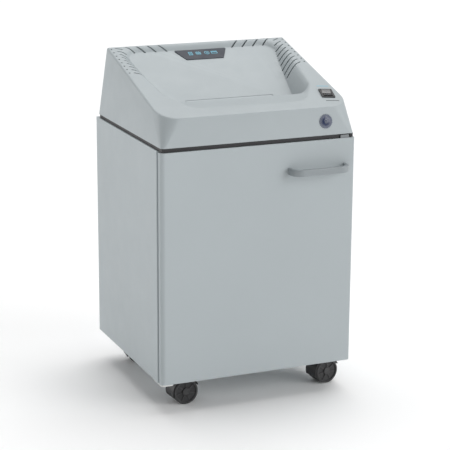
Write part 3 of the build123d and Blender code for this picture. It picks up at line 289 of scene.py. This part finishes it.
BODY_GREY = (0.392, 0.433, 0.449)
HEAD_GREY = (0.388, 0.430, 0.446)
EVEN = (1.0, 1.0, 1.0)
FINISHES = (
    ("grey_laminate", laminate, BODY_GREY),
    ("grey_plastic", moulded, HEAD_GREY, 0.46, 1100.0, 0.00005, 0.02, 0.10),
    ("handle_plastic", moulded, (0.27, 0.30, 0.315), 0.36, 1200.0, 0.00003, 0.02, 0.2),
    ("tongue_plastic", moulded, (0.20, 0.215, 0.225), 0.42),
    ("black_plastic", moulded, (0.014, 0.014, 0.016), 0.5, 800.0, 0.00008, 0.15, 0.05),
    ("rocker_plastic", glossy, (0.012, 0.012, 0.014), 0.2, 0.4),
    ("red_plastic", moulded, (0.42, 0.02, 0.015), 0.35),
    ("navy_gloss", moulded, (0.012, 0.018, 0.032), 0.42, 1500.0, 0.00002, 0.08, 0.1, 0.3),
    ("mark_blue", moulded, (0.20, 0.52, 0.66), 0.4, 1500.0, 0.00002, 0.05, 0.1, 0.3),
    ("mark_dark", moulded, (0.03, 0.033, 0.038), 0.45, 1500.0, 0.00002, 0.05, 0.1, 0.3),
    ("mark_white", moulded, (0.22, 0.24, 0.27), 0.45, 1500.0, 0.00002, 0.05, 0.1, 0.3),
    ("seal_navy", glossy, (0.010, 0.022, 0.075), 0.25, 0.3),
    ("seal_metal", metal, (0.10, 0.11, 0.14), 0.34, EVEN, 500.0),
    ("zinc", metal, (0.60, 0.61, 0.60), 0.36, EVEN, 120.0, 0.16),
    ("cutter_steel", metal, (0.36, 0.36, 0.37), 0.26, (9.0, 1.0, 1.0), 160.0, 0.2, 0.2),
    ("rotor_steel", metal, (0.48, 0.48, 0.49), 0.3, (6.0, 1.0, 1.0), 200.0),
    ("bronze", metal, (0.50, 0.31, 0.13), 0.42, EVEN, 400.0),
    ("nylon", moulded, (0.68, 0.65, 0.56), 0.4, 500.0, 0.00005, 0.05, 0.2),
    ("motor_paint", glossy, (0.018, 0.018, 0.02), 0.3, 0.2, 0.12),
    ("cast_aluminium", metal, (0.56, 0.57, 0.58), 0.45, EVEN, 700.0),
    ("copper", metal, (0.55, 0.24, 0.12), 0.3, (14.0, 1.0, 1.0), 90.0),
    ("capacitor_can", metal, (0.66, 0.67, 0.68), 0.3, (5.0, 1.0, 1.0), 200.0),
    ("circuit_board", circuit),
    ("bin_plastic", moulded, (0.045, 0.047, 0.05), 0.5, 600.0, 0.00008, 0.1, 0.1),
    ("caster_plastic", moulded, (0.012, 0.012, 0.013), 0.38, 900.0, 0.00005, 0.15, 0.08),
    ("wheel_tyre", worn_rubbery, (0.016, 0.016, 0.017)),
)
MATERIALS = {name: make(name, *values) for name, make, *values in FINISHES}


def paint(obj, material):
    """Give a piece one material."""
    obj.data.materials.clear()
    obj.data.materials.append(material)


for part in frame["record"]["subparts"]:
    paint(NODES[part["node"]], MATERIALS[part["material_slot"]])


# ---------------------------------------------------------------- pieces
CREASE_ANGLE = math.radians(32.0)


def soften(obj):
    """Smooth shading with creases kept and large flats left flat."""
    obj.data.polygons.foreach_set("use_smooth", [True] * len(obj.data.polygons))
    obj.data.set_sharp_from_angle(angle=CREASE_ANGLE)
    even = obj.modifiers.new("even", "WEIGHTED_NORMAL")
    even.keep_sharp = True


def new_piece(name, mesh, body, material):
    """A mesh object that rides on a body, painted with one material."""
    obj = bpy.data.objects.new(name, mesh)
    SCENE.collection.objects.link(obj)
    paint(obj, material)
    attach(obj, body)
    return obj


# ---------------------------------------------------------------- mesh building
ON_AXIS = 1e-6


def placed(origin, right, normal):
    """A place with X to the right, Z along the normal and Y across both."""
    z_axis = Vector(normal).normalized()
    x_axis = (Vector(right) - z_axis * z_axis.dot(Vector(right))).normalized()
    y_axis = z_axis.cross(x_axis)
    turn = Matrix((x_axis, y_axis, z_axis)).transposed()
    return Matrix.Translation(origin) @ turn.to_4x4()


def middle(node):
    """The middle of a node's box at rest."""
    low, high = (Vector(corner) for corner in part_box(node))
    return (low + high) / 2


def round_outline(wide, tall, corner, steps=4):
    """Points round a rounded rectangle about the origin."""
    points = []
    for quarter, (sx, sy) in enumerate(((1, 1), (-1, 1), (-1, -1), (1, -1))):
        for step in range(steps + 1):
            angle = (quarter + step / steps) * math.pi / 2
            points.append((
                sx * (wide / 2 - corner) + corner * math.cos(angle),
                sy * (tall / 2 - corner) + corner * math.sin(angle),
            ))
    return points


def add_pad(mesh, plane, outline, height, slope):
    """A raised pad with that outline and a chamfered top edge."""
    loops = []
    for level, inset in ((0.0, 0.0), (height - slope, 0.0), (height, slope)):
        loop = []
        for x, y in outline:
            reach = max(math.hypot(x, y), ON_AXIS)
            shrink = 1.0 - inset / reach
            loop.append(mesh.verts.new(plane @ Vector((x * shrink, y * shrink, level))))
        loops.append(loop)
    count = len(outline)
    for lower, upper in zip(loops, loops[1:]):
        for index in range(count):
            after = (index + 1) % count
            mesh.faces.new((lower[index], lower[after], upper[after], upper[index]))
    mesh.faces.new(loops[-1])
    mesh.faces.new(list(reversed(loops[0])))


def add_lathe(mesh, plane, profile, steps=64, closed=False):
    """A surface turned about the plane's Z from (radius, height) pairs."""
    rings = []
    for radius, height in profile:
        if radius < ON_AXIS:
            rings.append([mesh.verts.new(plane @ Vector((0.0, 0.0, height)))])
            continue
        rings.append([
            mesh.verts.new(plane @ Vector((
                radius * math.cos(2 * math.pi * step / steps),
                radius * math.sin(2 * math.pi * step / steps),
                height,
            )))
            for step in range(steps)
        ])
    pairs = list(zip(rings, rings[1:]))
    if closed:
        pairs.append((rings[-1], rings[0]))
    for first, second in pairs:
        for step in range(steps):
            after = (step + 1) % steps
            corners = [first[step % len(first)], first[after % len(first)],
                       second[after % len(second)], second[step % len(second)]]
            face = list(dict.fromkeys(corners))
            if len(face) > 2:
                mesh.faces.new(face)


def finish_mesh(name, mesh, body, material):
    """Turn a bmesh into a piece with clean, outward normals."""
    bmesh.ops.recalc_face_normals(mesh, faces=mesh.faces)
    data = bpy.data.meshes.new(name)
    mesh.to_mesh(data)
    mesh.free()
    obj = new_piece(name, data, body, MATERIALS[material])
    soften(obj)
    return obj


# ---------------------------------------------------------------- badge and marks
MARK_HEIGHT = 0.0003
MARK_CHAMFER = 0.0001
MARK_ROUNDING = 0.45
RING_STEPS = 40
RIGHT = (1.0, 0.0, 0.0)


def add_bar(mesh, plane, x, y, wide, tall, turn=0.0):
    """One printed-on bar with rounded ends."""
    spot = plane @ Matrix.Translation((x, y, 0.0)) @ Matrix.Rotation(turn, 4, "Z")
    outline = round_outline(wide, tall, min(wide, tall) * MARK_ROUNDING)
    add_pad(mesh, spot, outline, MARK_HEIGHT, MARK_CHAMFER)


def add_ring(mesh, plane, x, y, outer, inner):
    """One printed-on ring."""
    spot = plane @ Matrix.Translation((x, y, 0.0))
    shoulder = MARK_HEIGHT - MARK_CHAMFER
    profile = [
        (inner, 0.0), (inner, shoulder), (inner + MARK_CHAMFER, MARK_HEIGHT),
        (outer - MARK_CHAMFER, MARK_HEIGHT), (outer, shoulder), (outer, 0.0),
    ]
    add_lathe(mesh, spot, profile, RING_STEPS, closed=True)


def add_outline(mesh, plane, x, y, wide, tall, line):
    """A rectangle drawn with four bars."""
    for side in (-1, 1):
        add_bar(mesh, plane, x, y + side * (tall - line) / 2, wide, line)
        add_bar(mesh, plane, x + side * (wide - line) / 2, y, line, tall)


FLOOR_SLOPE = 0.46
BADGE_HALF_THICKNESS = 0.0006
ICON_LINE = 0.0011
ICON_ROW = 0.003
SHEET_X, SHEET_WIDE, SHEET_TALL = -0.024, 0.008, 0.0105
SHEET_LINE_PITCH, SHEET_LINE_LONG, SHEET_LINE_THICK = 0.0022, 0.0042, 0.0008
STRIPS_X, STRIP_PITCH, STRIP_SHORT = -0.0125, 0.0022, 0.0085
DISC_X = 0.0095
DISC_RINGS = ((0.0052, 0.0041), (0.0019, 0.0010))
CARD_X, CARD_WIDE, CARD_TALL = 0.0245, 0.0125, 0.0082
CARD_STRIPE_RISE, CARD_STRIPE_LONG, CARD_STRIPE_THICK = 0.0012, 0.0102, 0.0014


def make_badge_marks():
    """Generic pictograms on the badge: a sheet, strips, a disc and a card."""
    normal = Vector((0.0, -FLOOR_SLOPE, 1.0)).normalized()
    plane = placed(middle("badge_plate") + normal * BADGE_HALF_THICKNESS, RIGHT, normal)
    marks = bmesh.new()
    add_outline(marks, plane, SHEET_X, ICON_ROW, SHEET_WIDE, SHEET_TALL, ICON_LINE)
    for line in range(3):
        y = ICON_ROW + SHEET_LINE_PITCH - SHEET_LINE_PITCH * line
        add_bar(marks, plane, SHEET_X, y, SHEET_LINE_LONG, SHEET_LINE_THICK)
    for strip in range(5):
        tall = SHEET_TALL if strip % 2 else STRIP_SHORT
        add_bar(marks, plane, STRIPS_X + STRIP_PITCH * strip, ICON_ROW, ICON_LINE, tall)
    for outer, inner in DISC_RINGS:
        add_ring(marks, plane, DISC_X, ICON_ROW, outer, inner)
    add_outline(marks, plane, CARD_X, ICON_ROW, CARD_WIDE, CARD_TALL, ICON_LINE)
    y = ICON_ROW + CARD_STRIPE_RISE
    add_bar(marks, plane, CARD_X, y, CARD_STRIPE_LONG, CARD_STRIPE_THICK)
    finish_mesh("badge_marks", marks, "cabinet", "mark_blue")


FRONT_RAKE = 20.5 / 133.0
SEAL_HALF_THICKNESS = 0.00065
DOME_PROFILE = [
    (0.0, 0.00075), (0.004, 0.0007), (0.007, 0.0005), (0.0088, 0.0002), (0.0092, 0.0),
]
TICK_COUNT, TICK_RADIUS, TICK_RISE = 24, 0.0079, 0.0003
TICK_LONG, TICK_THICK = 0.0011, 0.0005
SIGN_RISE, SIGN_LINE = 0.0006, 0.0006
SIGN_SHEET_Y, SIGN_SHEET_WIDE, SIGN_SHEET_TALL = 0.0016, 0.0056, 0.0042
SIGN_STRIPS_X, SIGN_STRIP_PITCH = -0.0021, 0.0014
SIGN_STRIP_Y, SIGN_STRIP_LONG = -0.0024, 0.0026


def make_seal_face():
    """A shallow navy dome in the round badge, with ticks and a small sheet and strips on it."""
    normal = Vector((0.0, -1.0, FRONT_RAKE)).normalized()
    plane = placed(middle("round_badge") + normal * SEAL_HALF_THICKNESS, RIGHT, normal)
    dome = bmesh.new()
    add_lathe(dome, plane, DOME_PROFILE)
    finish_mesh("seal_dome", dome, "cabinet", "seal_navy")
    ticks = bmesh.new()
    spot = plane @ Matrix.Translation((0.0, 0.0, TICK_RISE))
    for tick in range(TICK_COUNT):
        angle = 2 * math.pi * tick / TICK_COUNT
        x, y = TICK_RADIUS * math.cos(angle), TICK_RADIUS * math.sin(angle)
        add_bar(ticks, spot, x, y, TICK_LONG, TICK_THICK, angle)
    raised = plane @ Matrix.Translation((0.0, 0.0, SIGN_RISE))
    add_outline(ticks, raised, 0.0, SIGN_SHEET_Y, SIGN_SHEET_WIDE, SIGN_SHEET_TALL, SIGN_LINE)
    for strip in range(4):
        x = SIGN_STRIPS_X + SIGN_STRIP_PITCH * strip
        add_bar(ticks, raised, x, SIGN_STRIP_Y, SIGN_LINE, SIGN_STRIP_LONG)
    finish_mesh("seal_ticks", ticks, "cabinet", "mark_white")


# ---------------------------------------------------------------- head shell and switch
RIM_SLOPE = 0.2824
RIM_FRONT = Vector((0.0, -0.160, 0.5453))
RIM_NORMAL = Vector((0.0, -RIM_SLOPE, 1.0)).normalized()


def rim_plane(x, depth, turn):
    """The rim's plane at a place, turned about its normal; depth is behind the door's face."""
    spot = RIM_FRONT + Vector((x, depth, depth * RIM_SLOPE))
    return placed(spot, RIGHT, RIM_NORMAL) @ Matrix.Rotation(turn, 4, "Z")


SLOT_COUNT = 9
SLOT_X = 0.1615
SLOT_STEP = 0.0022
SLOT_DEPTH = 0.292
SLOT_PITCH = 0.0143
SLOT_TURN = math.radians(30.0)
SLOT_WIDTH = 0.0028
SLOT_END_X = 0.169
SLOT_OVERLAP = 0.006
SLOT_CUT = 0.005
SLOT_ROUNDING = 0.49


def slot_cutters():
    """Prisms that carry the side air slots on to the rim's flat, so that all end in one line."""
    cutters = bmesh.new()
    for side in (-1, 1):
        for place in range(SLOT_COUNT):
            x = SLOT_X - SLOT_STEP * place
            reach = (SLOT_END_X - x) / math.cos(SLOT_TURN)
            length = reach + SLOT_OVERLAP
            plane = rim_plane(side * x, SLOT_DEPTH - SLOT_PITCH * place, side * SLOT_TURN)
            spot = plane @ Matrix.Translation((side * (reach - length / 2), 0.0, -SLOT_CUT))
            outline = round_outline(length, SLOT_WIDTH, SLOT_WIDTH * SLOT_ROUNDING)
            add_pad(cutters, spot, outline, 2 * SLOT_CUT, 0.0)
    bmesh.ops.recalc_face_normals(cutters, faces=cutters.faces)
    data = bpy.data.meshes.new("slot_cutters")
    cutters.to_mesh(data)
    cutters.free()
    return bpy.data.objects.new("slot_cutters", data)


WELD = 2e-6
FLAT_ANGLE = math.radians(0.15)


def make_head_shell():
    """The head cover, welded so that the recess shades smoothly, with longer side slots."""
    shell = bmesh.new()
    shell.from_mesh(NODES["head_cover"].data)
    bmesh.ops.remove_doubles(shell, verts=shell.verts, dist=WELD)
    mesh = bpy.data.meshes.new("head_shell")
    shell.to_mesh(mesh)
    shell.free()
    uncut = bpy.data.objects.new("uncut_shell", mesh)
    cutters = slot_cutters()
    SCENE.collection.objects.link(uncut)
    SCENE.collection.objects.link(cutters)
    cut = uncut.modifiers.new("slots", "BOOLEAN")
    cut.operation = "DIFFERENCE"
    cut.solver = "EXACT"
    cut.object = cutters
    bpy.context.view_layer.update()
    evaluated = uncut.evaluated_get(bpy.context.evaluated_depsgraph_get())
    finished = bpy.data.meshes.new_from_object(evaluated)
    bpy.data.objects.remove(uncut)
    bpy.data.objects.remove(cutters)
    flat = bmesh.new()
    flat.from_mesh(finished)
    bmesh.ops.dissolve_limit(flat, angle_limit=FLAT_ANGLE, verts=flat.verts, edges=flat.edges)
    flat.to_mesh(finished)
    flat.free()
    obj = new_piece("head_shell", finished, "cabinet", MATERIALS["grey_plastic"])
    soften(obj)
    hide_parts("head_cover")


ROCKER_X = 0.1595
ROCKER_DEPTH = 0.0575
ROCKER_TURN = math.radians(-11.0)
ROCKER_RADIUS = 0.04024
ROCKER_DIP = 0.0014
BLUE_LINE = (0.0, 0.0320, 0.023, 0.0017)
DARK_LINE = (0.004, -0.0285, 0.025, 0.0014)
SIGN_REACH = 0.0066
ON_SIGN = (0.0, 0.0, 0.0006, 0.0042)
OFF_SIGN = (0.0, 0.0, 0.0021, 0.0016)


def make_switch_marks():
    """A blue line behind the switch, a dark one in front and the bar and ring on the rocker."""
    at_switch = rim_plane(ROCKER_X, ROCKER_DEPTH, ROCKER_TURN)
    behind = bmesh.new()
    add_bar(behind, at_switch, *BLUE_LINE)
    finish_mesh("switch_line_blue", behind, "cabinet", "mark_blue")
    before = bmesh.new()
    add_bar(before, at_switch, *DARK_LINE)
    finish_mesh("switch_line_dark", before, "cabinet", "mark_dark")
    signs = bmesh.new()
    for place in (-SIGN_REACH, SIGN_REACH):
        height = ROCKER_DIP + ROCKER_RADIUS - math.sqrt(ROCKER_RADIUS ** 2 - place ** 2)
        tilt = math.asin(place / ROCKER_RADIUS)
        lifted = at_switch @ Matrix.Translation((0.0, place, height))
        spot = lifted @ Matrix.Rotation(tilt, 4, "X")
        if place < 0:
            add_ring(signs, spot, *OFF_SIGN)
        else:
            add_bar(signs, spot, *ON_SIGN)
    finish_mesh("rocker_signs", signs, "rocker", "mark_white")


# ---------------------------------------------------------------- caster wheels
CASTER_TURNS = {"front_left": 3.0, "front_right": 9.0, "rear_left": -6.0, "rear_right": 5.0}
WHEEL_PROFILE = [
    (0.0030, 0.0056), (0.0105, 0.0056), (0.0110, 0.0062), (0.0190, 0.0062), (0.0195, 0.0056),
    (0.0222, 0.0056), (0.0234, 0.0062), (0.0240, 0.0076), (0.0240, 0.0092), (0.02365, 0.0095),
    (0.02365, 0.0099), (0.0240, 0.0102), (0.0240, 0.0124), (0.02365, 0.0127), (0.02365, 0.0131),
    (0.0240, 0.0134), (0.0240, 0.0150), (0.0234, 0.0164), (0.0222, 0.0170), (0.0206, 0.0170),
    (0.0200, 0.0166), (0.0194, 0.0148), (0.0185, 0.0143), (0.0085, 0.0141), (0.0078, 0.0144),
    (0.0073, 0.0162), (0.0064, 0.0168), (0.0, 0.0169),
]
AXLE_PROFILE = [(0.0, -0.0096), (0.0030, -0.0096), (0.0030, 0.0096), (0.0, 0.0096)]
WHEEL_STEPS, AXLE_STEPS = 96, 32
WHEEL_RIBS = 7
RIB_PLACE = (0.0134, 0.0, 0.0138)
RIB_LONG, RIB_WIDE, RIB_CORNER = 0.0118, 0.0018, 0.0008
RIB_HEIGHT, RIB_CHAMFER = 0.0018, 0.0004


def make_wheels(corner, turn):
    """A caster's two wheels, with grooved treads, dished faces and ribs, on their axle."""
    angle = math.radians(turn)
    across = Vector((math.sin(angle), -math.cos(angle), 0.0))
    pair = bmesh.new()
    rib_outline = round_outline(RIB_LONG, RIB_WIDE, RIB_CORNER)
    outer, inner = (
        placed(middle("caster_wheels_" + corner), (0.0, 0.0, 1.0), across * side)
        for side in (1.0, -1.0)
    )
    for plane in (outer, inner):
        add_lathe(pair, plane, WHEEL_PROFILE, WHEEL_STEPS)
        for rib in range(WHEEL_RIBS):
            spin = Matrix.Rotation(2 * math.pi * rib / WHEEL_RIBS, 4, "Z")
            spot = plane @ spin @ Matrix.Translation(RIB_PLACE)
            add_pad(pair, spot, rib_outline, RIB_HEIGHT, RIB_CHAMFER)
    add_lathe(pair, inner, AXLE_PROFILE, AXLE_STEPS)
    obj = finish_mesh("wheel_pair_" + corner, pair, "wheels_" + corner, "wheel_tyre")
    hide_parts("caster_wheels_" + corner)


make_head_shell()
make_badge_marks()
make_seal_face()
make_switch_marks()
for wheel_corner, wheel_turn in CASTER_TURNS.items():
    make_wheels(wheel_corner, wheel_turn)


# ---------------------------------------------------------------- floor and light
FLOOR_REACH = 14.0
FLOOR_CORNERS = ((-1, -1), (1, -1), (1, 1), (-1, 1))
FLOOR_PALE, FLOOR_PALER = (0.965, 0.965, 0.965), (0.985, 0.985, 0.985)
WORLD_STRENGTH = 0.32
SUNS = (
    ("top", (0.25, 0.30, 1.0), 1.98, 60.0),
    ("key", (0.80, -0.85, 0.36), 1.42, 40.0),
    ("side", (-1.0, 0.70, 0.30), 0.85, 40.0),
)


def make_floor():
    """A plain pale floor."""
    mesh = bpy.data.meshes.new("floor")
    corners = [(FLOOR_REACH * x, FLOOR_REACH * y, 0) for x, y in FLOOR_CORNERS]
    mesh.from_pydata(corners, [], [(0, 1, 2, 3)])
    floor = bpy.data.objects.new("floor", mesh)
    SCENE.collection.objects.link(floor)
    tree = Tree("floor_white")
    tree.colour(tree.ramp(tree.noise(2.0, 3.0), ((0.3, FLOOR_PALE), (0.7, FLOOR_PALER))))
    tree.set(Roughness=0.9, Specular_IOR_Level=0.1)
    paint(floor, tree.material)


def soft_sun(name, source, strength, softness):
    """A wide, soft light from a direction, even over the whole floor."""
    data = bpy.data.lights.new(name, "SUN")
    data.energy = strength
    data.angle = math.radians(softness)
    light = bpy.data.objects.new(name, data)
    SCENE.collection.objects.link(light)
    light.matrix_world = Vector(source).to_track_quat("Z", "Y").to_matrix().to_4x4()


def make_world():
    """A plain, even background light."""
    world = bpy.data.worlds.new("studio")
    world.use_nodes = True
    background = world.node_tree.nodes["Background"]
    background.inputs["Color"].default_value = (1.0, 1.0, 1.0, 1.0)
    background.inputs["Strength"].default_value = WORLD_STRENGTH
    SCENE.world = world


make_camera()
make_floor()
for sun in SUNS:
    soft_sun(*sun)
make_world()
SCENE.view_settings.view_transform = "Standard"
